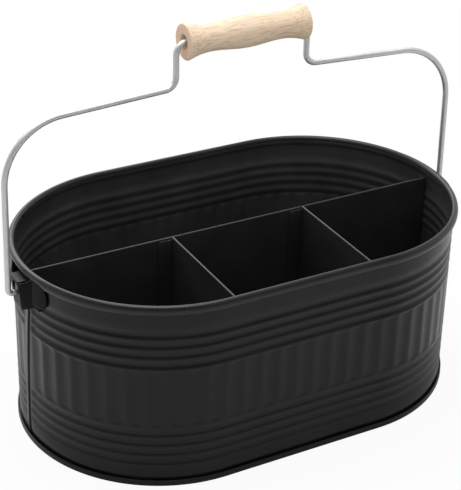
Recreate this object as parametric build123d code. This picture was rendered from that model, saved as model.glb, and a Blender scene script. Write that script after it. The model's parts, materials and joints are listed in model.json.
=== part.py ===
from build123d import *
import math
import os

os.makedirs("parts", exist_ok=True)

# Cutlery caddy in millimetres: +X along its length, +Y to the back, +Z up.
# The origin is the middle of the footprint, on the surface that it stands on.

# Overall size
rim_length = 320.0
rim_width = 201.0
height = 135.0

# Sheet metal
sheet = 0.6
seat_gap = 0.15

# Rolled rim
rim_reach = 2.6
curl_width = 5.0
curl_height = 7.0
curl_sides = 8

# Pressed bands: two groups of grooves, each counted down from its top one
groove_depth = 0.9
groove_pitch = 7.2
grooves_per_group = 4
upper_groove_drop = 21.7
lower_groove_z = 40.0

# Upright flutes between the two groups, with one place left plain at the lap seam
flute_count = 66
flute_depth = 0.72
flute_gap_above = 2.6
flute_gap_below = 3.4

# Lap seam in the left end: the inner sheet runs on behind the edge of the outer one
lap_width = 12.0
seam_line = 0.5

# Seam between the wall and the floor
foot_height = 4.2
foot_reach = 1.4
floor_top_z = 4.6

# Dividers
divider_drop = 7.6
hem_height = 6.0
hem_space = 0.35
tab_width = 10.5
tab_drop = 1.2
cross_inset = 8.9

# Handle ears
ear_sheet = 1.0
ear_width = 13.6
ear_foot_width = 34.8
ear_drop = 9.9
ear_height = 20.9
ear_top_reach = 4.8
ear_low_reach = 2.8
ear_foot_rise = 5.8
flap_slit = 0.5
wing_length = 13.6
wing_height = 14.6
wing_drop = 7.4
slot_width = 7.0
slot_height = 11.0

# Bail
wire_diameter = 4.0
pivot_lift = 10.0
pivot_rest_gap = 0.2
leg_gap = 3.1
leg_lean = 1.9
bail_rise = 150.5
shoulder_rise = 120.4
shoulder_drop = 6.0
leg_bend = 3.0
shoulder_bend = 42.0
riser_bend = 6.0
bend_flatness = 0.5
wire_end_gap = 1.6

# Grip
grip_length = 88.0
grip_play = 2.0
grip_shift = 1.2
grip_middle_radius = 10.4
grip_neck_radius = 8.8
grip_end_radius = 12.0
grip_neck_x = 25.5
grip_edge = 1.2
grip_steps = 5
bore_clearance = 0.1
mouth_radius = 4.2
mouth_depth = 6.0

# Sizes that follow from the ones above
wall_radius = rim_width / 2 - rim_reach
straight_half = (rim_length - rim_width) / 2
cross_x = straight_half - cross_inset
wall_half_length = straight_half + wall_radius
inner_radius = wall_radius - sheet
lining_radius = inner_radius - max(groove_depth, flute_depth, sheet) - seat_gap
curl_centre = wall_radius + rim_reach - curl_width / 2
curl_middle_z = height - curl_height / 2
curl_low_z = height - curl_height
upper_groove_z = height - upper_groove_drop
flute_high_z = upper_groove_z - (grooves_per_group - 0.5) * groove_pitch - flute_gap_above
flute_low_z = lower_groove_z + groove_pitch / 2 + flute_gap_below
divider_top_z = height - divider_drop
tab_top_z = divider_top_z - tab_drop
ear_high_z = height - ear_drop
ear_low_z = ear_high_z - ear_height
pivot_z = ear_low_z + pivot_lift
wire_radius = wire_diameter / 2
riser_half = grip_length / 2 + grip_play + wire_radius
perimeter = 4 * straight_half + 2 * math.pi * wall_radius
lap_angle = math.degrees(lap_width / wall_radius)


def block(x0, x1, y0, y1, z0, z1):
    """Box between two corners."""
    return Pos((x0 + x1) / 2, (y0 + y1) / 2, (z0 + z1) / 2) * Box(x1 - x0, y1 - y0, z1 - z0)


def patch(r0, r1, z0, z1):
    """Rectangle in a section, where r is the distance from the middle line and z the height."""
    return Pos((r0 + r1) / 2, (z0 + z1) / 2) * Rectangle(r1 - r0, z1 - z0)


def prism(radius, low, high):
    """Upright solid with straight sides and round ends."""
    outline = Plane.XY.offset(low) * SlotCenterToCenter(2 * straight_half, 2 * radius)
    return extrude(outline, high - low)


def turned(section, start, sweep):
    """Section turned about Z from the angle start, counted from +X."""
    return Rot(0, 0, start) * revolve(Plane.XZ * section, Axis.Z, sweep)


def side_run(section, turn):
    """Section run along a straight side; turn is -90 at the front and 90 at the back."""
    face = Pos(-straight_half, 0, 0) * Rot(0, 0, turn) * (Plane.XZ * section)
    return extrude(face, 2 * straight_half, dir=(1, 0, 0))


def around(section):
    """Section taken all the way round the caddy."""
    right = Pos(straight_half, 0, 0) * turned(section, -90, 180)
    left = Pos(-straight_half, 0, 0) * turned(section, 90, 180)
    return right + side_run(section, -90) + side_run(section, 90) + left


def curl_section():
    """Cut through the rolled rim: an oval whose roll is closed on itself."""
    turns = [2 * math.pi * (i + 0.5) / curl_sides for i in range(curl_sides)]
    grow = 1 / math.cos(math.pi / curl_sides)
    points = [(curl_centre + grow * curl_width / 2 * math.cos(a), curl_middle_z + grow * curl_height / 2 * math.sin(a))
              for a in turns]
    return make_face(Polyline(*points, close=True))


def sheet_section(low, high, groove_heights):
    """Cut through the sheet between two heights, pressed inwards at each groove."""
    outside = [(wall_radius, high)]
    for z in groove_heights:
        outside += [(wall_radius, z + groove_pitch / 2), (wall_radius - groove_depth, z)]
    if groove_heights:
        outside.append((wall_radius, groove_heights[-1] - groove_pitch / 2))
    outside.append((wall_radius, low))
    inside = [(r - sheet, z) for r, z in reversed(outside)]
    return make_face(Polyline(*outside, *inside, close=True))


def wall_section(grooves):
    """Cut through the wall above and below the flutes, with so many grooves in each group."""
    upper = [upper_groove_z - i * groove_pitch for i in range(grooves)]
    lower = [lower_groove_z - i * groove_pitch for i in range(grooves)]
    section = sheet_section(flute_high_z, curl_middle_z, upper) + curl_section()
    return section + sheet_section(sheet + seat_gap, flute_low_z, lower)


def wall_point(run, inset):
    """Point at a distance along the wall from the lap seam, inset from the outside of the wall."""
    quarter = math.pi * wall_radius / 2
    half = perimeter / 2
    side = 1 if run <= half else -1
    run = run if run <= half else perimeter - run
    reach = wall_radius - inset
    if quarter <= run <= quarter + 2 * straight_half:
        return (run - quarter - straight_half, side * reach)
    if run < quarter:
        angle = math.pi - run / wall_radius
        return (reach * math.cos(angle) - straight_half, side * reach * math.sin(angle))
    angle = (half - run) / wall_radius
    return (reach * math.cos(angle) + straight_half, side * reach * math.sin(angle))


def fluted_outline(inset):
    """Outline of the fluted band; each flute is one arc pressed inwards."""
    pitch = perimeter / flute_count
    arcs = []
    for i in range(flute_count):
        depth = flute_depth if i else 0
        start = wall_point((i - 0.5) * pitch % perimeter, inset)
        middle = wall_point(i * pitch, inset + depth)
        arcs.append(ThreePointArc(start, middle, wall_point((i + 0.5) * pitch, inset)))
    return make_face(Wire(arcs))


def fluted_band():
    """Band of flutes, closed at its top and bottom by narrow ledges."""
    inside = fluted_outline(sheet)
    band = extrude(Pos(0, 0, flute_low_z) * (fluted_outline(0) - inside), flute_high_z - flute_low_z)
    ledge = SlotCenterToCenter(2 * straight_half, 2 * inner_radius + sheet) - inside
    for z in (flute_low_z - sheet, flute_high_z):
        band += extrude(Pos(0, 0, z) * ledge, sheet)
    return band


def make_wall():
    """One sheet, wrapped, lapped at the left end, pressed and rolled over at the rim."""
    section = wall_section(grooves_per_group)
    lap = patch(inner_radius - sheet, inner_radius, floor_top_z + seat_gap, curl_middle_z)
    seam_section = wall_section(0) + lap
    right = Pos(straight_half, 0, 0) * turned(section, -90, 180)
    left_back = Pos(-straight_half, 0, 0) * turned(section, 90, 90 - lap_angle / 2)
    left_front = Pos(-straight_half, 0, 0) * turned(section, 180 + lap_angle / 2, 90 - lap_angle / 2)
    seam = Pos(-straight_half, 0, 0) * turned(seam_section, 180 - lap_angle / 2, lap_angle)
    wall = fluted_band() + right + side_run(section, -90) + side_run(section, 90)
    wall += left_back + left_front + seam
    line_y = -lap_width / 2 + seam_line
    edge = block(-rim_length, 0, line_y, line_y + seam_line, floor_top_z + 2 * seat_gap, curl_low_z)
    return wall - (edge - prism(inner_radius, 0, height))


def make_floor():
    """Floor pan: its rim goes down inside the wall, out under it and up round its foot, folded double."""
    leg_out = inner_radius - seat_gap
    edge = wall_radius + foot_reach
    section = patch(leg_out - sheet, edge, 0, sheet)
    section += patch(leg_out - sheet, leg_out, 0, floor_top_z)
    section += patch(wall_radius + seat_gap, edge, 0, foot_height)
    return around(section) + prism(leg_out, floor_top_z - sheet, floor_top_z)


def hemmed_section():
    """Cut through a divider: the front face is at 0 and the folded hem lies behind it."""
    hem = 2 * sheet + hem_space
    z_turn = divider_top_z - hem / 2
    section = patch(0, sheet, floor_top_z, z_turn)
    section += patch(sheet + hem_space, hem, divider_top_z - hem_height, z_turn)
    ring = Pos(hem / 2, z_turn) * (Circle(hem / 2) - Circle(hem_space / 2))
    return section + (ring - patch(0, hem, divider_top_z - hem_height, z_turn))


def make_long_divider():
    """Divider along the middle, with a tab against the wall at each end."""
    half = straight_half + lining_radius
    panel = extrude(Plane.YZ * hemmed_section(), half - sheet, both=True)
    ring = prism(lining_radius, floor_top_z, tab_top_z) - prism(lining_radius - sheet, floor_top_z, tab_top_z)
    tabs = ring & block(-rim_length, rim_length, 0, tab_width, 0, height)
    return panel + tabs


def make_cross_divider(x):
    """Divider from the long one to the front wall, with a tab at each end."""
    front = -lining_radius
    length = lining_radius
    panel = extrude(Plane((x, front, 0), x_dir=(1, 0, 0), z_dir=(0, -1, 0)) * hemmed_section(), -length)
    tabs = block(x - tab_width, x + sheet, front, front + sheet, floor_top_z, tab_top_z)
    tabs += block(x - tab_width, x + sheet, -sheet, 0, floor_top_z, tab_top_z)
    return panel + tabs


def lug(inset, low, high):
    """Tapered body of an ear, whose sides spread towards the wall, smaller by inset on every side."""
    foot_x = -straight_half - math.sqrt((wall_radius + seat_gap) ** 2 - (ear_foot_width / 2) ** 2)
    sections = []
    for z, reach in ((ear_low_z, ear_low_reach), (ear_high_z, ear_top_reach)):
        half = [(-wall_half_length - reach, ear_width / 2), (foot_x, ear_foot_width / 2), (0, ear_foot_width / 2)]
        outline = make_face(Polyline(*half, *[(x, -y) for x, y in reversed(half)], close=True))
        if inset:
            outline = offset(outline, -inset, kind=Kind.INTERSECTION)
        sections.append(Pos(0, 0, z) * outline)
    return loft(sections, ruled=True) & block(-rim_length, 0, -ear_foot_width, ear_foot_width, low, high)


def lug_outline():
    """What is kept of an ear's body, seen from its front: the low edges of its sides rise towards the wall."""
    half, foot = ear_width / 2, ear_foot_width / 2
    slit_z = ear_high_z - ear_sheet - flap_slit
    right = [(half, ear_low_z), (foot, ear_low_z + ear_foot_rise), (foot, slit_z), (half, slit_z), (half, ear_high_z)]
    outline = make_face(Polyline(*right, *[(-y, z) for y, z in reversed(right)], close=True))
    return extrude(Plane.YZ * outline, rim_length, both=True)


def make_ear():
    """Left ear: folded lug with a slot for the wire, a flap over it and two wings on the wall."""
    outside = prism(wall_radius + 3 * ear_top_reach, 0, height) - prism(wall_radius + seat_gap, 0, height)
    shell = lug(0, ear_low_z, ear_high_z) - lug(ear_sheet, ear_low_z, ear_high_z - ear_sheet)
    slit_z = ear_high_z - ear_sheet - flap_slit
    slit = block(-wall_half_length - ear_low_reach, 0, -ear_width, ear_width, slit_z, slit_z + flap_slit)
    shell = (shell - slit) & lug_outline()
    slot_low = pivot_z - wire_radius - pivot_rest_gap
    slot = Rot(0, 0, 90) * SlotOverall(slot_height, slot_width)
    slot_plane = Plane((-wall_half_length, 0, slot_low + slot_height / 2), x_dir=(0, 1, 0), z_dir=(-1, 0, 0))
    shell -= extrude(slot_plane * slot, 2 * ear_top_reach)
    wing_span = ear_foot_width + 2 * wing_length
    wing_middle_z = height - wing_drop - wing_height / 2
    wing_plane = Plane((-wall_half_length, 0, wing_middle_z), x_dir=(0, 1, 0), z_dir=(-1, 0, 0))
    plate = extrude(wing_plane * SlotOverall(wing_span, wing_height), wing_length, both=True)
    skin = prism(wall_radius + seat_gap + ear_sheet, 0, height)
    inner_half = ear_foot_width / 2 - 2 * ear_sheet
    plate = plate & skin
    plate -= block(-rim_length, 0, -inner_half, inner_half, 0, height)
    return (shell + plate) & outside


def bail_path():
    """Middle line of the wire, from the left ear over the grip to the right ear."""
    leg_x = wall_half_length + ear_top_reach + leg_gap + wire_radius
    end_x = wall_half_length + wire_end_gap
    low = [(end_x, pivot_z), (leg_x, pivot_z), (leg_x - leg_lean, pivot_z + shoulder_rise - shoulder_drop)]
    high = [(riser_half, pivot_z + shoulder_rise), (riser_half, pivot_z + bail_rise)]
    right = low + high
    points = [(-x, 0, z) for x, z in right] + [(x, 0, z) for x, z in reversed(right)]
    bends = [leg_bend, shoulder_bend, riser_bend, riser_bend]
    return FilletPolyline(*points, radius=bends + bends[::-1])


def wire_stations(path):
    """Places along the wire, from 0 to 1: the ends of each straight run, and steps round each bend."""
    stations = [0.0]
    for line in path.edges().sort_by(path):
        steps = 1
        if line.geom_type == GeomType.CIRCLE:
            step_angle = 2 * math.acos(1 - bend_flatness / line.radius)
            steps = math.ceil(line.length / line.radius / step_angle)
        start = stations[-1]
        stations += [start + line.length / path.length * (i + 1) / steps for i in range(steps)]
    return stations


def make_bail():
    """Round wire bent to the handle's shape."""
    path = bail_path()
    planes = [Plane(path @ t, x_dir=(0, 1, 0), z_dir=path % t) for t in wire_stations(path)]
    return loft([plane * Circle(wire_radius) for plane in planes], ruled=True)


def grip_radius(x):
    """Radius of the grip at a distance x from its middle: a swell, a neck, then a flare."""
    if x < grip_neck_x:
        swell = (1 + math.cos(math.pi * x / grip_neck_x)) / 2
        return grip_neck_radius + (grip_middle_radius - grip_neck_radius) * swell
    flare = (x - grip_neck_x) / (grip_length / 2 - grip_edge - grip_neck_x)
    return grip_neck_radius + (grip_end_radius - grip_neck_radius) * flare ** 2


def make_grip():
    """Turned wooden grip: a swollen middle, a neck and a flare on each side, and a bore with wider mouths."""
    half = grip_length / 2
    bore = wire_radius + bore_clearance
    stations = [(half - grip_edge) * i / grip_steps for i in range(1, grip_steps + 1)]
    right = [(x, grip_radius(x)) for x in stations]
    right += [(half, grip_end_radius - grip_edge), (half, mouth_radius), (half - mouth_depth, mouth_radius),
              (half - mouth_depth, bore)]
    left = [(-x, r) for x, r in reversed(right)]
    profile = make_face(Polyline((0, grip_middle_radius), *right, *left, close=True))
    body = revolve(Plane.XZ * profile, Axis.X)
    return Pos(grip_shift, 0, pivot_z + bail_rise) * body


def write(shape, name):
    """Write one node."""
    export_step(shape, "parts/" + name + ".step")


def main():
    write(make_wall(), "wall")
    write(make_floor(), "floor_pan")
    write(make_long_divider(), "long_divider")
    write(make_cross_divider(-cross_x), "cross_divider_left")
    write(make_cross_divider(cross_x), "cross_divider_right")
    ear = make_ear()
    write(ear, "ear_left")
    write(mirror(ear, Plane.YZ), "ear_right")
    write(make_bail(), "bail_wire")
    write(make_grip(), "grip")


main()
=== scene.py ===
import json
import math

import bmesh
import bpy
import numpy as np
from mathutils import Matrix, Vector


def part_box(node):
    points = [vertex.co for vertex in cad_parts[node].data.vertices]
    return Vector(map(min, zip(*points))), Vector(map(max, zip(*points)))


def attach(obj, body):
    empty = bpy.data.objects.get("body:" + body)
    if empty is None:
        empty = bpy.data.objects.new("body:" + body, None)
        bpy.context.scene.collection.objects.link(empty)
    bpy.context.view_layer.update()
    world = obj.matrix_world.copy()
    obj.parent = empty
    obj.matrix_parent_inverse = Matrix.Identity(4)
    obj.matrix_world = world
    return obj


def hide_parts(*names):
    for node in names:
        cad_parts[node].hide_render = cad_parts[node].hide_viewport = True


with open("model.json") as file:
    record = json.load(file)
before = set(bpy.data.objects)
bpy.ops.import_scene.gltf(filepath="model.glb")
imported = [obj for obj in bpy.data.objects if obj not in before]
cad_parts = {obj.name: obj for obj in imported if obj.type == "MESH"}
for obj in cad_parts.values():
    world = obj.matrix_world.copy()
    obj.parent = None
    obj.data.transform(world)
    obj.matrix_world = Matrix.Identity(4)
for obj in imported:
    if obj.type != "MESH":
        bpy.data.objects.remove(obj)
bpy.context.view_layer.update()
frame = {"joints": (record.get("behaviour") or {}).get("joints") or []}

# Sizes of the object are in millimetres, and mesh_piece turns them into metres
MM = 0.001

# Overall size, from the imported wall
rim_half_length, rim_half_width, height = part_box("wall")[1] / MM

# Sheet metal and the rolled rim
sheet = 0.6
seat_gap = 0.15
rim_reach = 2.6
curl_width = 5.0
curl_height = 7.0
curl_steps = 24
curl_lift = 2.4
curl_join = 0.3
curl_start = math.asin(0.95)

# Pressed bands
groove_depth = 1.15
groove_pitch = 7.2
grooves_per_group = 4
upper_groove_z = height - 21.7
lower_groove_z = 40.0
flute_count = 66
flute_depth = 0.72
flute_low_z = 44.2
flute_high_z = 88.2
flute_end = 3.0
flute_shift = 3.9
groove_softness = 0.22
flute_softness = 0.3
stations_per_flute = 9

# Lap seam: its line leans from the foot to the ear. The sheet steps down to its front side,
# and has a plain strip on each side of it
seam_width = 0.3
seam_foot = 0.7
seam_lean = 7.1
strip_back = 4.4
strip_front = 4.2
fade_length = 1.6
lap_rise = 0.45
lap_drop = 0.4

# Seam ring round the floor
foot_height = 4.2
foot_reach = 1.4
floor_top_z = 4.6
foot_round = 0.3
foot_gap = 0.5
foot_press = 0.45
foot_fade = 3.0
floor_stations = 240
pan_rim = 12.0
pan_crease = 2.0

# Dividers
divider_top_z = height - 7.6
hem_height = 6.0
hem_space = 0.35
hem_edge = 0.2
tab_width = 10.5
tab_drop = 1.2
tab_round = 2.5
tab_edge = 0.12
cross_inset = 8.9

# Ears: the sides of the body rise beside the flap to side_drop below the wings' tops
ear_sheet = 1.0
ear_width = 13.6
ear_foot_width = 34.8
ear_height = 20.9
ear_high_z = height - 9.9
ear_top_reach = 5.8
ear_low_reach = 3.9
ear_foot_rise = 5.8
flap_slit = 0.15
side_drop = 0.8
flap_corner = 1.2
wing_length = 13.6
wing_height = 18.0
wing_middle_z = height - 13.4
wing_power = 2.5
wing_lift = 0.3
wing_tip_angles = (15, 30, 44, 56, 67, 76, 83, 88)
slot_width = 7.0
slot_height = 11.0
slot_margin = 0.6
low_rows = 5
band_rows = 4
high_rows = 3
fold_radius = 1.4
foot_bend = 6.0
ear_edge = 0.25

# Bail
wire_radius = 2.0
pivot_rest_gap = 0.2
leg_lean = 1.9
shoulder_rise = 120.4
shoulder_drop = 6.0
leg_gap = 2.1
leg_bend = 3.0
shoulder_bend = 42.0
riser_bend = 8.0
wire_end_gap = 1.6
wire_sides = 24
wire_tip = 0.4
wire_tip_share = 0.8
grip_play = 2.0

# Grip
grip_length = 88.0
grip_shift = 1.2
grip_middle_radius = 10.4
grip_neck_radius = 8.8
grip_end_radius = 12.0
grip_neck_x = 25.5
grip_edge = 1.2
bore_radius = 2.1
mouth_radius = 4.9
mouth_depth = 6.0
mouth_edge = 0.4
mouth_ring = 0.5
mouth_taper = 1.0
grip_sides = 96

# Sizes that follow
wall_radius = rim_half_width - rim_reach
straight_half = rim_half_length - rim_half_width
cross_x = straight_half - cross_inset
wall_half_length = straight_half + wall_radius
inner_radius = wall_radius - sheet
curl_centre = wall_radius + rim_reach - curl_width / 2
curl_middle_z = height - curl_height / 2
ear_low_z = ear_high_z - ear_height
slit_z = ear_high_z - ear_sheet - flap_slit
lining_radius = inner_radius - groove_depth - seat_gap
pivot_z = frame["joints"][0]["pos_m"][2] / MM
grip_z = frame["joints"][1]["pos_m"][2] / MM
perimeter = 4 * straight_half + 2 * math.pi * wall_radius

# Camera fitted to the photograph: angles in degrees, lengths in millimetres
image_width = 461
image_height = 490
focal_pixels = 1509.33
centre_u = 230.24
centre_v = 230.36
camera_yaw = -29.135
camera_pitch = 28.148
camera_roll = 1.347
camera_distance = 1089.91
camera_shift_x = 2.908
camera_shift_y = 106.281

# Light: watts of the lamps, then the white surroundings as light and, in gloss, before the
# object; studio_back points to their bright side
top_watts = 16
back_watts = 8
world_light = 0.49
front_gloss = 0.2
studio_back = (0.49, 0.87, 0)

# Stage: half its side in metres, its grey, and its share of white as seen and in gloss
stage_half = 3.0
stage_grey = 0.75
stage_white = 0.93
stage_gloss = 0.05


def smooth_step(t):
    """0 below 0, 1 above 1, and smooth between."""
    t = np.clip(t, 0, 1)
    return t * t * (3 - 2 * t)


def arc_points(centre_r, centre_z, radius, start, end, steps=5):
    """Points of an arc in a section, with its angles in degrees."""
    return [(centre_r + radius * math.cos(a), centre_z + radius * math.sin(a))
            for a in np.radians(np.linspace(start, end, steps))]


def round_corner(before, corner, after, radius, count=18):
    """Points of the arc that rounds a corner of a path."""
    a = (before - corner).normalized()
    b = (after - corner).normalized()
    half = a.angle(b) / 2
    reach = radius / math.tan(half)
    centre = corner + (a + b).normalized() * (radius / math.sin(half))
    start = corner + a * reach - centre
    end = corner + b * reach - centre
    sweep = math.pi - 2 * half
    points = []
    for t in np.linspace(0, 1, count + 1):
        arm = math.sin((1 - t) * sweep) * start + math.sin(t * sweep) * end
        points.append(centre + arm / math.sin(sweep))
    return points


def grid_faces(columns, rows, wrap_columns=False, wrap_rows=False):
    """Quads of a grid of points, numbered column by column."""
    i = np.arange(columns if wrap_columns else columns - 1)[:, None]
    j = np.arange(rows if wrap_rows else rows - 1)[None, :]
    i2, j2 = (i + 1) % columns, (j + 1) % rows
    corners = np.broadcast_arrays(i * rows + j, i2 * rows + j, i2 * rows + j2, i * rows + j2)
    return np.stack([c.ravel() for c in corners], axis=1)


def mesh_piece(name, points, faces, material, sharp=50, closed=True):
    """Smooth piece from points in millimetres; an open one keeps the side that its faces say."""
    mesh = bpy.data.meshes.new(name)
    places = [tuple(p) for p in np.asarray(points) * MM]
    mesh.from_pydata(places, [], [tuple(map(int, f)) for f in faces])
    if closed:
        work = bmesh.new()
        work.from_mesh(mesh)
        bmesh.ops.recalc_face_normals(work, faces=work.faces)
        work.to_mesh(mesh)
        work.free()
    mesh.shade_smooth()
    mesh.set_sharp_from_angle(angle=math.radians(sharp))
    piece = bpy.data.objects.new(name, mesh)
    bpy.context.scene.collection.objects.link(piece)
    mesh.materials.append(material)
    return piece


def thicken(piece, thickness, edge, sharp=50):
    """Give an open surface its sheet thickness behind it, with softened edges."""
    solid = piece.modifiers.new("thickness", "SOLIDIFY")
    solid.thickness = thickness * MM
    solid.offset = -1
    bevel = piece.modifiers.new("edges", "BEVEL")
    bevel.width = edge * MM
    bevel.segments = 2
    bevel.limit_method = "ANGLE"
    bevel.angle_limit = math.radians(sharp)
    graph = bpy.context.evaluated_depsgraph_get()
    made = bpy.data.meshes.new_from_object(piece.evaluated_get(graph))
    piece.modifiers.clear()
    piece.data = made
    made.shade_smooth()
    made.set_sharp_from_angle(angle=math.radians(sharp))


def join(name, pieces):
    """Several meshes as one piece."""
    work = bmesh.new()
    for part in pieces:
        work.from_mesh(part.data)
    mesh = bpy.data.meshes.new(name)
    work.to_mesh(mesh)
    work.free()
    mesh.materials.append(pieces[0].data.materials[0])
    for part in pieces:
        bpy.data.objects.remove(part)
    piece = bpy.data.objects.new(name, mesh)
    bpy.context.scene.collection.objects.link(piece)
    return piece


def finish_piece(piece, body, node):
    """The piece moves with its body and stands for its CAD node, which is hidden."""
    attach(piece, body)
    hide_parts(node)


# Materials

def new_material(name):
    """Empty material with its nodes, its links and its shader."""
    material = bpy.data.materials.new(name)
    material.use_nodes = True
    nodes = material.node_tree.nodes
    return material, nodes, material.node_tree.links, nodes["Principled BSDF"]


def noise_node(nodes, links, scale, stretch=(1, 1, 1), detail=3.0):
    """Noise in the object's own space; stretch below 1 draws it out along an axis."""
    place = nodes.new("ShaderNodeTexCoord")
    mapping = nodes.new("ShaderNodeMapping")
    mapping.inputs["Scale"].default_value = stretch
    noise = nodes.new("ShaderNodeTexNoise")
    noise.inputs["Scale"].default_value = scale
    noise.inputs["Detail"].default_value = detail
    links.new(place.outputs["Object"], mapping.inputs["Vector"])
    links.new(mapping.outputs["Vector"], noise.inputs["Vector"])
    return noise


def ramp_node(nodes, links, source, stops):
    """Colour ramp over a value; stops are (place, colour)."""
    ramp = nodes.new("ShaderNodeValToRGB")
    elements = ramp.color_ramp.elements
    while len(elements) < len(stops):
        elements.new(0.5)
    for element, (place, colour) in zip(elements, stops):
        element.position = place
        element.color = (*colour, 1)
    links.new(source, ramp.inputs["Fac"])
    return ramp


def range_node(nodes, links, source, low, high, from_low=0.3, from_high=0.7):
    """Value from a source, spread between two limits."""
    node = nodes.new("ShaderNodeMapRange")
    node.inputs["From Min"].default_value = from_low
    node.inputs["From Max"].default_value = from_high
    node.inputs["To Min"].default_value = low
    node.inputs["To Max"].default_value = high
    links.new(source, node.inputs["Value"])
    return node


def bump_node(nodes, links, source, shader, distance, strength=1.0):
    """Fine relief from a source; its depth is in metres."""
    bump = nodes.new("ShaderNodeBump")
    bump.inputs["Distance"].default_value = distance
    bump.inputs["Strength"].default_value = strength
    links.new(source, bump.inputs["Height"])
    links.new(bump.outputs["Normal"], shader.inputs["Normal"])


def math_node(nodes, links, operation, first, second):
    """Result of two values; each is a number or another node's output."""
    node = nodes.new("ShaderNodeMath")
    node.operation = operation
    for value, socket in zip((first, second), node.inputs):
        if isinstance(value, (int, float)):
            socket.default_value = value
        else:
            links.new(value, socket)
    return node.outputs[0]


def mix_node(nodes, links, share, first, second):
    """Colour between two others."""
    mix = nodes.new("ShaderNodeMix")
    mix.data_type = "RGBA"
    links.new(share, mix.inputs["Factor"])
    for colour, socket in ((first, mix.inputs[6]), (second, mix.inputs[7])):
        if isinstance(colour, tuple):
            socket.default_value = (*colour, 1)
        else:
            links.new(colour, socket)
    return mix.outputs[2]


def normal_share(nodes, links, axis, low, high):
    """0 to 1 as a surface comes to face along an axis (0 to 2) of its object, either way."""
    place = nodes.new("ShaderNodeTexCoord")
    facing = nodes.new("ShaderNodeSeparateXYZ")
    links.new(place.outputs["Normal"], facing.inputs[0])
    along = math_node(nodes, links, "ABSOLUTE", facing.outputs[axis], 0)
    return range_node(nodes, links, along, 0, 1, low, high).outputs["Result"]


def black_paint(name, level, ior, top_highlight=None):
    """Satin black coat of a grey level: fine orange peel, faint clouds, and on request a painted
    highlight on its tops.
    """
    material, nodes, links, shader = new_material(name)
    clouds = noise_node(nodes, links, 35, detail=4)
    dark, light = 0.85 * level, 1.15 * level
    stops = [(0.35, (dark, dark, 1.03 * dark)), (0.65, (light, light, 1.03 * light))]
    colour = ramp_node(nodes, links, clouds.outputs["Fac"], stops).outputs["Color"]
    # Painted highlight: faces turned upwards are mixed towards a pale grey, standing for the top
    # light falling on them
    if top_highlight:
        upward = normal_share(nodes, links, 2, 0.8, 0.97)
        colour = mix_node(nodes, links, upward, colour, (top_highlight, top_highlight, top_highlight))
    links.new(colour, shader.inputs["Base Color"])
    gloss = range_node(nodes, links, clouds.outputs["Fac"], 0.27, 0.35)
    links.new(gloss.outputs["Result"], shader.inputs["Roughness"])
    peel = noise_node(nodes, links, 900, detail=2)
    bump_node(nodes, links, peel.outputs["Fac"], shader, 0.00003)
    shader.inputs["IOR"].default_value = ior
    return material


def bright_wire():
    """Plated steel wire with faint drawing lines."""
    material, nodes, links, shader = new_material("bright_wire")
    lines = noise_node(nodes, links, 500, stretch=(0.15, 1, 0.15), detail=3)
    colour = ramp_node(nodes, links, lines.outputs["Fac"],
                       [(0.3, (0.68, 0.69, 0.71)), (0.7, (0.78, 0.79, 0.81))])
    links.new(colour.outputs["Color"], shader.inputs["Base Color"])
    gloss = range_node(nodes, links, lines.outputs["Fac"], 0.52, 0.62)
    links.new(gloss.outputs["Result"], shader.inputs["Roughness"])
    shader.inputs["Metallic"].default_value = 1.0
    shader.inputs["Specular Tint"].default_value = (0.12, 0.12, 0.13, 1)
    bump_node(nodes, links, lines.outputs["Fac"], shader, 0.00001)
    return material


def pale_wood():
    """Bare pale wood: soft bands and fine brown pores along the grip, and plain end grain."""
    material, nodes, links, shader = new_material("pale_wood")
    bands = noise_node(nodes, links, 160, stretch=(0.05, 1, 1), detail=4)
    plain = ramp_node(nodes, links, bands.outputs["Fac"],
                      [(0.35, (0.80, 0.60, 0.42)), (0.65, (0.89, 0.72, 0.55))])
    pores = noise_node(nodes, links, 1700, stretch=(0.025, 1, 1), detail=2)
    dash = range_node(nodes, links, pores.outputs["Fac"], 0.7, 0.0, 0.36, 0.5)
    streaked = mix_node(nodes, links, dash.outputs["Result"],
                        plain.outputs["Color"], (0.58, 0.38, 0.24))
    on_end = normal_share(nodes, links, 0, 0.8, 0.95)
    colour = mix_node(nodes, links, on_end, streaked, (0.80, 0.57, 0.41))
    links.new(colour, shader.inputs["Base Color"])
    shader.inputs["Specular IOR Level"].default_value = 0.3
    gloss = range_node(nodes, links, bands.outputs["Fac"], 0.7, 0.55)
    links.new(gloss.outputs["Result"], shader.inputs["Roughness"])
    bump_node(nodes, links, pores.outputs["Fac"], shader, 0.00012)
    return material


# Wall

def run_frame(run):
    """Core x and direction (x, y) of places along the wall, from the lap seam round by the back."""
    quarter = math.pi * wall_radius / 2
    side = 2 * straight_half
    knots = np.cumsum([0, quarter, side, 2 * quarter, side, quarter])
    turn = np.interp(run, knots, np.radians([180, 90, 90, -90, -90, -180]))
    core = np.interp(run, knots, [-straight_half, -straight_half, straight_half, straight_half,
                                  -straight_half, -straight_half])
    return core, np.cos(turn), np.sin(turn)


def press_shape(phase, softness):
    """Depth of one groove: 1 at phase 0 and 0 half a pitch away, where the ridge is soft."""
    wave = np.sqrt(np.cos(np.pi * phase) ** 2 + softness ** 2)
    deep = math.sqrt(1 + softness ** 2)
    return (wave - softness) / (deep - softness)


def groove_press(z):
    """Depth of the two groups of grooves at a height."""
    depth = np.zeros_like(z)
    for top in (upper_groove_z, lower_groove_z):
        phase = (top - z) / groove_pitch
        inside = (phase > -0.5) & (phase < grooves_per_group - 0.5)
        depth += np.where(inside, groove_depth * press_shape(phase, groove_softness), 0)
    return depth


def flute_press(run, z):
    """Depth of the upright flutes, which run out softly at both ends."""
    phase = (run + flute_shift) * flute_count / perimeter
    shape = press_shape(phase, flute_softness)
    top = smooth_step((flute_high_z - z) / flute_end)
    bottom = smooth_step((z - flute_low_z) / flute_end)
    missing = np.round(phase) % flute_count == 0
    return np.where(missing, 0, flute_depth * shape * top * bottom)


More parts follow.
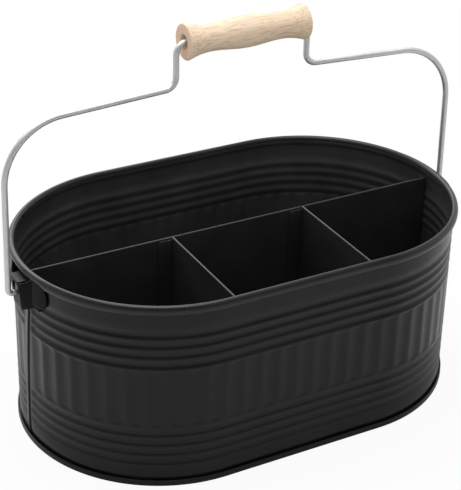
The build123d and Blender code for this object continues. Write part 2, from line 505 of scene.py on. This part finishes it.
def seam_run(z):
    """Place of the seam's line at a height; above the ear's low edge it stays upright."""
    return perimeter - seam_foot - seam_lean * np.minimum(z / ear_low_z, 1) ** 2


def past_seam(run, z):
    """Signed way along the wall from the seam's line."""
    return (run - seam_run(z) + perimeter / 2) % perimeter - perimeter / 2


def seam_fade(run, z):
    """1 where the pressing is full, 0 in the plain strip at the lap seam."""
    past = past_seam(run, z)
    behind = smooth_step((past - strip_back) / fade_length)
    return behind + smooth_step((-past - strip_front) / fade_length)


def seam_step(run, z):
    """How far out the sheet stands beside the seam's line: raised behind it, lowered before it."""
    past = past_seam(run, z)
    rise = lap_rise * (1 - smooth_step((past - seam_width / 2) / strip_back))
    drop = lap_drop * (1 - smooth_step((-past - seam_width / 2) / strip_front))
    across = np.clip(past / seam_width + 0.5, 0, 1)
    return across * rise - (1 - across) * drop


def press_depth(run, z):
    """How far the sheet is pressed inwards at each place and height."""
    return groove_press(z) * seam_fade(run, z) + flute_press(run, z)


def wall_heights(groove_rows):
    """Heights of the rows of points up the wall, close together where it is pressed."""
    half_group = groove_pitch / 2
    low_end = lower_groove_z - (grooves_per_group - 0.5) * groove_pitch
    high_end = upper_groove_z - (grooves_per_group - 0.5) * groove_pitch
    rows = groove_rows * grooves_per_group
    parts = [
        [sheet + seat_gap, foot_height, foot_height + foot_fade / 2, foot_height + foot_fade],
        np.linspace(low_end, lower_groove_z + half_group, rows + 1),
        np.linspace(flute_low_z, flute_low_z + flute_end, 8),
        np.linspace(flute_low_z + flute_end, flute_high_z - flute_end, 4)[1:-1],
        np.linspace(flute_high_z - flute_end, flute_high_z, 8),
        np.linspace(high_end, upper_groove_z + half_group, rows + 1),
        [upper_groove_z + groove_pitch],
    ]
    return np.unique(np.round(np.concatenate(parts), 4))


def wall_stations():
    """Places along the wall, with extra ones for the seam's line, in the missing flute."""
    flutes = np.arange(flute_count * stations_per_flute) / stations_per_flute - 0.5
    even = flutes * perimeter / flute_count - flute_shift
    near = -flute_shift + seam_width / 2 * np.array([-1.1, -1, -0.5, 0, 0.5, 1, 1.1])
    even = even[np.abs(even + flute_shift) > 0.8 * seam_width]
    return np.sort(np.concatenate([even, near]))


def lean_stations(run, z):
    """The same places, with those in the missing flute drawn along to follow the seam's line."""
    share = np.clip((run + flute_shift) / (perimeter / flute_count / 2), -1, 1)
    lean = seam_run(z) - perimeter + flute_shift
    return (run + lean * (1 - share ** 2) ** 2) % perimeter


def curl_raise(run):
    """How far the rim's lower edge is raised over the ears, which lie on the wall under it."""
    half = perimeter / 2
    from_end = half / 2 - np.abs(np.abs(run - half) - half / 2)
    half_wing = wing_length / 2
    return curl_lift * (1 - smooth_step((from_end - ear_foot_width / 2 - half_wing) / half_wing))


def make_wall(material, rim_material, inside_material):
    """One sheet: pressed, lapped at the left end and rolled over at the rim."""
    stations = wall_stations()
    outside_z = wall_heights(groove_rows=7)
    inside_z = wall_heights(groove_rows=4)[::-1]
    turn = np.linspace(-curl_start, math.pi + curl_start, curl_steps + 1)
    curl_r = curl_centre + curl_width / 2 * np.cos(turn)
    curl_z = curl_middle_z + curl_height / 2 * np.sin(turn)
    curl_r = np.concatenate([[wall_radius], curl_r, [inner_radius]])
    curl_z = np.concatenate([[curl_z[0] + curl_join], curl_z, [curl_z[-1] + curl_join]])
    places, radius, level = [], [], []
    for z in outside_z:
        run = lean_stations(stations, z)
        foot = foot_press * smooth_step((foot_height + foot_fade - z) / foot_fade)
        step = seam_step(run, z) if z > foot_height else 0
        places.append(run)
        radius.append(wall_radius - press_depth(run, np.full_like(run, z)) - foot + step)
        level.append(z)
    for i, (r, z) in enumerate(zip(curl_r, curl_z)):
        run = lean_stations(stations, z)
        outer = i <= 1 + curl_steps // 2
        places.append(run)
        radius.append(np.full_like(stations, r))
        level.append(z + curl_raise(run) * (height - z) / curl_height if outer else z)
    for z in inside_z:
        run = lean_stations(stations, z)
        places.append(run)
        radius.append(inner_radius - press_depth(run, np.full_like(run, z)))
        level.append(z)
    radius = np.stack(radius, axis=1)
    level = np.stack([np.broadcast_to(z, stations.shape) for z in level], axis=1)
    core, across, along = run_frame(np.stack(places, axis=1))
    points = np.stack([core + radius * across, radius * along, level], axis=2)
    faces = grid_faces(*radius.shape, True, True)
    piece = mesh_piece("pressed_wall", points.reshape(-1, 3), faces, material)
    piece.data.materials.append(rim_material)
    piece.data.materials.append(inside_material)
    # The curl and the inside take the lighter copies of the black paint: painted light
    row = np.arange(len(faces)) % radius.shape[1]
    first_inside = len(outside_z) + 1 + 3 * curl_steps // 4
    order = np.where(row >= len(outside_z), 1, 0)
    order = np.where(row >= first_inside, 2, order).astype(np.int32)
    piece.data.polygons.foreach_set("material_index", order)
    finish_piece(piece, "caddy", "wall")


# Floor pan

def make_floor_pan(material):
    """Floor with its rim folded down, under the wall and up round its foot."""
    leg_out = inner_radius - seat_gap
    flange = wall_radius + foot_gap
    edge = wall_radius + foot_reach
    inner = leg_out - pan_rim
    section = [(inner, floor_top_z), (leg_out - pan_crease, floor_top_z),
               (leg_out, floor_top_z), (leg_out, sheet), (flange, sheet)]
    section += arc_points(flange + foot_round, foot_height - foot_round, foot_round, 180, 90)
    section += arc_points(edge - foot_round, foot_height - foot_round, foot_round, 90, 0)
    section += arc_points(edge - foot_round, foot_round, foot_round, 0, -90)
    section += [(leg_out - sheet, 0), (leg_out - sheet, floor_top_z - sheet),
                (inner, floor_top_z - sheet)]
    core, across, along = run_frame(np.arange(floor_stations) * perimeter / floor_stations)
    points = [(c + r * a, r * b, z) for c, a, b in zip(core, across, along) for r, z in section]
    rows = len(section)
    faces = [list(f) for f in grid_faces(floor_stations, rows, True, False)]
    for row in (0, rows - 1):
        ring = [i * rows + row for i in range(floor_stations)]
        half = floor_stations // 2
        faces += [[ring[i], ring[i + 1], ring[-i - 1], ring[-i]] for i in range(1, half - 1)]
        faces += [[ring[0], ring[1], ring[-1]], [ring[half - 1], ring[half], ring[half + 1]]]
    piece = mesh_piece("floor_and_foot", points, faces, material, sharp=40)
    finish_piece(piece, "caddy", "floor_pan")


# Dividers

def hem_outline():
    """Outline of a divider's section, as (depth behind its front face, height), with its hem."""
    hem = 2 * sheet + hem_space
    z_turn = divider_top_z - hem / 2
    low = divider_top_z - hem_height
    outline = [(0, floor_top_z), (0, z_turn)]
    outline += arc_points(hem / 2, z_turn, hem / 2, 180, 0, 13)[1:-1]
    outline += [(hem, z_turn), (hem, low + hem_edge), (hem - hem_edge, low)]
    outline += [(hem - sheet + hem_edge, low), (hem - sheet, low + hem_edge)]
    outline += [(hem - sheet, z_turn)]
    outline += arc_points(hem / 2, z_turn, hem_space / 2, 0, 180, 5)[1:-1]
    return outline + [(sheet, z_turn), (sheet, floor_top_z)]


def hemmed_panel(name, start, end, material):
    """Hemmed sheet between two places on the floor plan, with its front face on their line."""
    start, end = Vector(start), Vector(end)
    along = (end - start).normalized()
    behind = Vector((-along.y, along.x))
    outline = hem_outline()
    points = []
    for place in (start, end):
        for depth, z in outline:
            p = place + depth * behind
            points.append((p.x, p.y, z))
    rows = len(outline)
    faces = [list(f) for f in grid_faces(2, rows, False, True)]
    faces += [list(range(rows)), list(range(rows, 2 * rows))]
    return mesh_piece(name, points, faces, material, sharp=40)


def tab_plate(name, outline, facing, material):
    """Tab of a divider, from its plan line outwards; its free top corner is round."""
    length = math.dist(outline[0], outline[-1])
    top = divider_top_z - tab_drop
    points, columns = [], len(outline)
    levels = np.array([0, 0.4, 0.8, 0.92, 1])
    for x, y in outline:
        left = length - math.dist(outline[0], (x, y))
        into = max(0, tab_round - left)
        drop = tab_round - math.sqrt(tab_round ** 2 - into ** 2)
        points += [(x, y, floor_top_z + t * (top - drop - floor_top_z)) for t in levels]
    faces = grid_faces(columns, len(levels))
    if facing < 0:
        faces = faces[:, ::-1]
    plate = mesh_piece(name, points, faces, material, closed=False)
    thicken(plate, sheet, tab_edge)
    return plate


def curved_tab(side, material):
    """Tab of the long divider on the inside of the wall, at the left (-1) or right (1) end."""
    reach = lining_radius - sheet
    places = tab_width * np.sin(np.linspace(0, math.pi / 2, 13))
    outline = [(side * (straight_half + math.sqrt(reach ** 2 - y ** 2)), y) for y in places]
    return tab_plate("tab", outline, -side, material)


def straight_tab(x, y, side, material):
    """Tab of a cross divider, at its front (-1) or back (1) end."""
    outline = [(x - t, y) for t in tab_width * np.sin(np.linspace(0, math.pi / 2, 13))]
    return tab_plate("tab", outline, side, material)


def make_dividers(material):
    """Long divider and two cross dividers, each with its hem and tabs."""
    half = straight_half + lining_radius - sheet
    parts = [hemmed_panel("panel", (-half, 0), (half, 0), material)]
    parts += [curved_tab(-1, material), curved_tab(1, material)]
    finish_piece(join("hemmed_long_divider", parts), "caddy", "long_divider")
    for name, x in (("left", -cross_x), ("right", cross_x)):
        parts = [hemmed_panel("panel", (x, 0), (x, -lining_radius), material)]
        parts += [straight_tab(x, -lining_radius + sheet, -1, material)]
        parts += [straight_tab(x, -sheet, 1, material)]
        piece = join("hemmed_cross_divider_" + name, parts)
        finish_piece(piece, "caddy", "cross_divider_" + name)


# Ears

def wing_out(y):
    """How far out the outer face of a wing is."""
    reach = wall_radius + seat_gap + ear_sheet + wing_lift
    return straight_half + math.sqrt(reach ** 2 - y ** 2)


def lug_columns(z):
    """Half of an ear's plan line at a height, as (kind, out, y), from a wing to the middle."""
    share = (z - ear_low_z) / ear_height
    front = wall_half_length + ear_low_reach + share * (ear_top_reach - ear_low_reach)
    foot = ear_foot_width / 2
    on_wing = Vector((wing_out(foot + foot_bend) - wing_lift, foot + foot_bend))
    base = Vector((wing_out(foot) - wing_lift, foot))
    corner = Vector((front, ear_width / 2))
    line = [on_wing] + round_corner(on_wing, base, corner, 2 * foot_bend, 8)
    line += [base.lerp(corner, t) for t in (0.4, 0.65, 0.85)]
    line += round_corner(base, corner, Vector((front, 0)), fold_radius, 6)
    columns = [("side", out, y) for out, y in line]
    columns += [("front", front, slot_width / 2 + slot_margin)]
    slot_angles = np.linspace(0, math.pi / 2, 8)
    return columns + [("slot", front, slot_width / 2 * math.cos(t)) for t in slot_angles]


def lug_levels(kind, y):
    """Heights of a column: up to the slot's band, over it and on to its top beside the flap."""
    rise = np.clip((y - ear_width / 2) / ((ear_foot_width - ear_width) / 2), 0, 1)
    low = ear_low_z + rise * ear_foot_rise
    first = ear_width / 2 + ear_sheet
    beside = np.clip((y - first) / (ear_foot_width / 2 - first), 0, 1)
    top = slit_z + beside * (wing_middle_z + wing_height / 2 - side_drop - slit_z)
    slot_low = pivot_z - wire_radius - pivot_rest_gap
    band = [slot_low + slot_width / 2, slot_low + slot_height - slot_width / 2]
    if kind == "slot":
        reach = math.sqrt((slot_width / 2) ** 2 - y ** 2)
        band = [band[0] - reach, band[1] + reach]
    return [*np.linspace(low, band[0], low_rows + 1), *np.linspace(*band, band_rows + 1)[1:],
            *np.linspace(band[1], top, high_rows + 1)[1:]]


def make_lug(side, material):
    """Body of an ear: its sides spread towards the wall, and its front has the wire's slot."""
    half = lug_columns(ear_low_z)
    count = len(half)
    columns = list(range(count)) + list(range(count - 2, -1, -1))
    points, index, faces = [], {}, []
    for i, k in enumerate(columns):
        kind, _, y = half[k]
        across = 1 if i < count else -1
        for j, z in enumerate(lug_levels(kind, y)):
            if kind == "slot" and y < slot_width / 2 - 1e-6 and low_rows < j < low_rows + band_rows:
                continue
            _, out, place = lug_columns(z)[k]
            index[i, j] = len(points)
            points.append((side * out, across * place, z))
    for i in range(len(columns) - 1):
        in_slot = half[columns[i]][0] == half[columns[i + 1]][0] == "slot"
        for j in range(low_rows + band_rows + high_rows):
            if in_slot and low_rows <= j < low_rows + band_rows:
                continue
            face = [index[c] for c in ((i, j), (i + 1, j), (i + 1, j + 1), (i, j + 1))]
            faces.append(face[::-1] if side > 0 else face)
    body = mesh_piece("body", points, faces, material, closed=False)
    thicken(body, ear_sheet, ear_edge)
    return body


def make_wing(side, end, material):
    """Wing of an ear on the wall, at its front (-1) or back (1) side, with a round tip."""
    half = wing_height / 2
    tip = ear_foot_width / 2 + wing_length
    places = list(np.linspace(ear_foot_width / 2 - ear_sheet, tip - half, 6))
    places += [tip - half + half * math.sin(t) for t in np.radians(wing_tip_angles)]
    levels = (-1, -0.85, -0.5, 0, 0.5, 0.85, 1)
    points = []
    for y in places:
        beyond = max(0, y - (tip - half))
        reach = half * (1 - (beyond / half) ** wing_power) ** (1 / wing_power)
        points += [(side * wing_out(y), end * y, wing_middle_z + t * reach) for t in levels]
    faces = grid_faces(len(places), len(levels))
    if side * end < 0:
        faces = faces[:, ::-1]
    wing = mesh_piece("wing", points, faces, material, closed=False)
    thicken(wing, ear_sheet, ear_edge)
    return wing


def make_flap(side, material):
    """Flat flap that closes the top of an ear."""
    half = ear_width / 2
    front = wall_half_length + ear_top_reach
    shares = (0, 0.3, 0.7, 0.9, 1)
    points = []
    places = [half * math.sin(t) for t in np.linspace(-math.pi / 2, math.pi / 2, 17)]
    for y in places:
        beyond = max(0, abs(y) - (half - flap_corner))
        end = front - flap_corner + math.sqrt(max(0, flap_corner ** 2 - beyond ** 2))
        start = straight_half + math.sqrt((wall_radius + seat_gap) ** 2 - y ** 2)
        points += [(side * (start + t * (end - start)), y, ear_high_z) for t in shares]
    faces = grid_faces(len(places), len(shares))
    if side > 0:
        faces = faces[:, ::-1]
    flap = mesh_piece("flap", points, faces, material, closed=False)
    thicken(flap, ear_sheet, ear_edge)
    return flap


def make_ear(side, material):
    """Ear at the left (-1) or right (1) end: slotted body, flap over it and two wings."""
    parts = [make_lug(side, material), make_flap(side, material)]
    parts += [make_wing(side, end, material) for end in (-1, 1)]
    name = "left" if side < 0 else "right"
    finish_piece(join("folded_ear_" + name, parts), "caddy", "ear_" + name)


# Bail

def bail_line():
    """Middle line of the wire, from the left ear over the grip to the right ear."""
    leg_x = wall_half_length + ear_top_reach + leg_gap + wire_radius
    riser_half = grip_length / 2 + grip_play + wire_radius
    end_x = wall_half_length + wire_end_gap
    shoulder_z = pivot_z + shoulder_rise
    right = [(end_x, pivot_z), (leg_x, pivot_z), (leg_x - leg_lean, shoulder_z - shoulder_drop),
             (riser_half, shoulder_z), (riser_half, grip_z)]
    corners = [Vector((-x, 0, z)) for x, z in right]
    corners += [Vector((x, 0, z)) for x, z in reversed(right)]
    bends = [leg_bend, shoulder_bend, riser_bend, riser_bend]
    line = [corners[0]]
    for i, radius in enumerate(bends + bends[::-1], 1):
        line += round_corner(corners[i - 1], corners[i], corners[i + 1], radius)
    return line + [corners[-1]]


def make_bail(material):
    """Round wire bent to the handle's shape, with its cut ends rounded."""
    line = bail_line()
    first = (line[0] - line[1]).normalized()
    last = (line[-1] - line[-2]).normalized()
    tip_radius = wire_radius * wire_tip_share
    rings = [(line[0], tip_radius), (line[0] - wire_tip * first, wire_radius)]
    rings += [(p, wire_radius) for p in line[1:-1]]
    rings += [(line[-1] - wire_tip * last, wire_radius), (line[-1], tip_radius)]
    points = []
    for i, (p, radius) in enumerate(rings):
        before = rings[max(i - 1, 0)][0]
        after = rings[min(i + 1, len(rings) - 1)][0]
        tangent = (after - before).normalized()
        side = Vector((0, 1, 0))
        up = tangent.cross(side)
        for k in range(wire_sides):
            turn = 2 * math.pi * k / wire_sides
            points.append(p + radius * (math.cos(turn) * side + math.sin(turn) * up))
    faces = [list(f) for f in grid_faces(len(rings), wire_sides, False, True)]
    faces += [list(range(wire_sides)), list(range(len(points) - wire_sides, len(points)))]
    piece = mesh_piece("bent_wire", points, faces, material)
    finish_piece(piece, "bail", "bail_wire")


# Grip

def grip_radius(x):
    """Radius of the grip at a distance x from its middle: a swell, a neck, then a flare."""
    if x < grip_neck_x:
        swell = (1 + math.cos(math.pi * x / grip_neck_x)) / 2
        return grip_neck_radius + (grip_middle_radius - grip_neck_radius) * swell
    flare = (x - grip_neck_x) / (grip_length / 2 - grip_edge - grip_neck_x)
    return grip_neck_radius + (grip_end_radius - grip_neck_radius) * flare ** 2


def make_grip(material):
    """Turned wooden grip with softened edges and a bore whose mouths are wider."""
    half = grip_length / 2
    right = [(x, grip_radius(x)) for x in np.linspace(0, half - grip_edge, 40)]
    edge_x, edge_r = half - grip_edge, grip_end_radius - grip_edge
    right += [(edge_x + grip_edge * math.sin(t), edge_r + grip_edge * math.cos(t))
              for t in np.linspace(0, math.pi / 2, 7)[1:]]
    right += [(half, r) for r in np.linspace(edge_r - grip_edge, mouth_radius + mouth_ring, 5)]
    right += [(half - mouth_edge, mouth_radius), (half - mouth_depth, mouth_radius),
              (half - mouth_depth - mouth_taper, bore_radius)]
    profile = right + [(-x, r) for x, r in reversed(right[1:])]
    points = []
    for x, r in profile:
        for k in range(grip_sides):
            turn = 2 * math.pi * k / grip_sides
            points.append((x + grip_shift, r * math.cos(turn), grip_z + r * math.sin(turn)))
    faces = grid_faces(len(profile), grip_sides, True, True)
    piece = mesh_piece("turned_grip", points, faces, material, sharp=40)
    finish_piece(piece, "grip", "grip")


# Stage

def make_stage():
    """Plain pale floor that keeps the object's shadow."""
    mesh = bpy.data.meshes.new("floor")
    corners = [(x * stage_half, y * stage_half, 0) for x, y in ((-1, -1), (1, -1), (1, 1), (-1, 1))]
    mesh.from_pydata(corners, [], [(0, 1, 2, 3)])
    floor = bpy.data.objects.new("floor", mesh)
    bpy.context.scene.collection.objects.link(floor)
    material, nodes, links, shader = new_material("floor")
    shader.inputs["Base Color"].default_value = (stage_grey, stage_grey, stage_grey, 1)
    shader.inputs["Roughness"].default_value = 0.9
    shader.inputs["Specular IOR Level"].default_value = 0.1
    glow = nodes.new("ShaderNodeEmission")
    glow.inputs["Strength"].default_value = 1.0
    mix = nodes.new("ShaderNodeMixShader")
    links.new(seen_rays(nodes, links, stage_white, stage_gloss), mix.inputs["Fac"])
    links.new(shader.outputs[0], mix.inputs[1])
    links.new(glow.outputs[0], mix.inputs[2])
    links.new(mix.outputs[0], nodes["Material Output"].inputs["Surface"])
    mesh.materials.append(material)


def seen_rays(nodes, links, from_camera, in_gloss):
    """Share of plain white for rays from the camera, and for those in gloss or through glass."""
    path = nodes.new("ShaderNodeLightPath")
    glossy, glass = path.outputs["Is Glossy Ray"], path.outputs["Is Transmission Ray"]
    mirrored = math_node(nodes, links, "MAXIMUM", glossy, glass)
    camera = math_node(nodes, links, "MULTIPLY", path.outputs["Is Camera Ray"], from_camera)
    mirror = math_node(nodes, links, "MULTIPLY", mirrored, in_gloss)
    return math_node(nodes, links, "MAXIMUM", camera, mirror)


def make_world():
    """Surroundings: white where seen, weaker as light, and in gloss darker before the object."""
    world = bpy.data.worlds.new("studio")
    bpy.context.scene.world = world
    world.use_nodes = True
    nodes = world.node_tree.nodes
    links = world.node_tree.links
    background = nodes["Background"]
    background.inputs["Color"].default_value = (1, 1, 1, 1)
    place = nodes.new("ShaderNodeTexCoord")
    facing = nodes.new("ShaderNodeVectorMath")
    facing.operation = "DOT_PRODUCT"
    facing.inputs[1].default_value = studio_back
    links.new(place.outputs["Generated"], facing.inputs[0])
    studio = range_node(nodes, links, facing.outputs["Value"], front_gloss, 1.0, -0.6, 0.3)
    mirrored = seen_rays(nodes, links, 0.0, 1.0)
    in_gloss = math_node(nodes, links, "MULTIPLY", studio.outputs["Result"], mirrored)
    as_light = range_node(nodes, links, mirrored, world_light, 0.0, 0, 1)
    unseen = math_node(nodes, links, "MAXIMUM", in_gloss, as_light.outputs["Result"])
    strength = math_node(nodes, links, "MAXIMUM", seen_rays(nodes, links, 1.0, 0.0), unseen)
    links.new(strength, background.inputs["Strength"])


def area_light(name, place, aim, size, power):
    """Rectangular lamp that the camera doesn't see; places and sizes are in metres."""
    light = bpy.data.lights.new(name, "AREA")
    light.shape = "RECTANGLE"
    light.size, light.size_y = size
    light.energy = power
    lamp = bpy.data.objects.new(name, light)
    lamp.location = place
    lamp.visible_camera = False
    lamp.rotation_mode = "QUATERNION"
    lamp.rotation_quaternion = (Vector(aim) - Vector(place)).to_track_quat("-Z", "Y")
    bpy.context.scene.collection.objects.link(lamp)


def make_lights():
    middle = (0, 0, height * MM)
    area_light("top_light", (-0.1, 0.05, 1.5), middle, (1.2, 1.0), top_watts)
    area_light("back_light", (0.05, 1.1, 0.9), middle, (1.2, 0.7), back_watts)


def make_camera():
    """Camera at the photograph's viewpoint."""
    yaw, pitch, roll = (math.radians(a) for a in (camera_yaw, camera_pitch, camera_roll))
    away = Vector((math.sin(yaw), -math.cos(yaw), 0))
    back = math.cos(pitch) * away + math.sin(pitch) * Vector((0, 0, 1))
    level_right = Vector((math.cos(yaw), math.sin(yaw), 0))
    level_up = back.cross(level_right)
    right = math.cos(roll) * level_right + math.sin(roll) * level_up
    up = math.cos(roll) * level_up - math.sin(roll) * level_right
    eye = -right * camera_shift_x + up * camera_shift_y + back * camera_distance
    data = bpy.data.cameras.new("camera")
    data.sensor_fit = "AUTO"
    longest = max(image_width, image_height)
    data.lens = focal_pixels * data.sensor_width / longest
    data.shift_x = (image_width / 2 - centre_u) / longest
    data.shift_y = (centre_v - image_height / 2) / longest
    camera = bpy.data.objects.new("camera", data)
    turn = Matrix((right, up, back)).transposed()
    camera.matrix_world = Matrix.Translation(eye * MM) @ turn.to_4x4()
    bpy.context.scene.collection.objects.link(camera)
    bpy.context.scene.camera = camera


def main():
    # One black paint in lit and shaded copies: the rim, the dividers and most of all the inside are
    # painted lighter than the outside, and the ears darker, as painted light and shade
    outer_paint = black_paint("outer_paint", level=0.007, ior=1.32)
    rim_paint = black_paint("rim_paint", level=0.01, ior=1.4)
    inner_paint = black_paint("inner_paint", level=0.046, ior=1.5)
    divider_paint = black_paint("divider_paint", level=0.022, ior=1.4)
    # The ears' upward faces get a painted highlight of pale grey
    ear_paint = black_paint("ear_paint", level=0.006, ior=1.1, top_highlight=0.12)
    make_camera()
    make_wall(outer_paint, rim_paint, inner_paint)
    make_floor_pan(outer_paint)
    make_dividers(divider_paint)
    for side in (-1, 1):
        make_ear(side, ear_paint)
    make_bail(bright_wire())
    make_grip(pale_wood())
    make_stage()
    make_world()
    make_lights()
    bpy.context.scene.view_settings.view_transform = "Standard"


main()
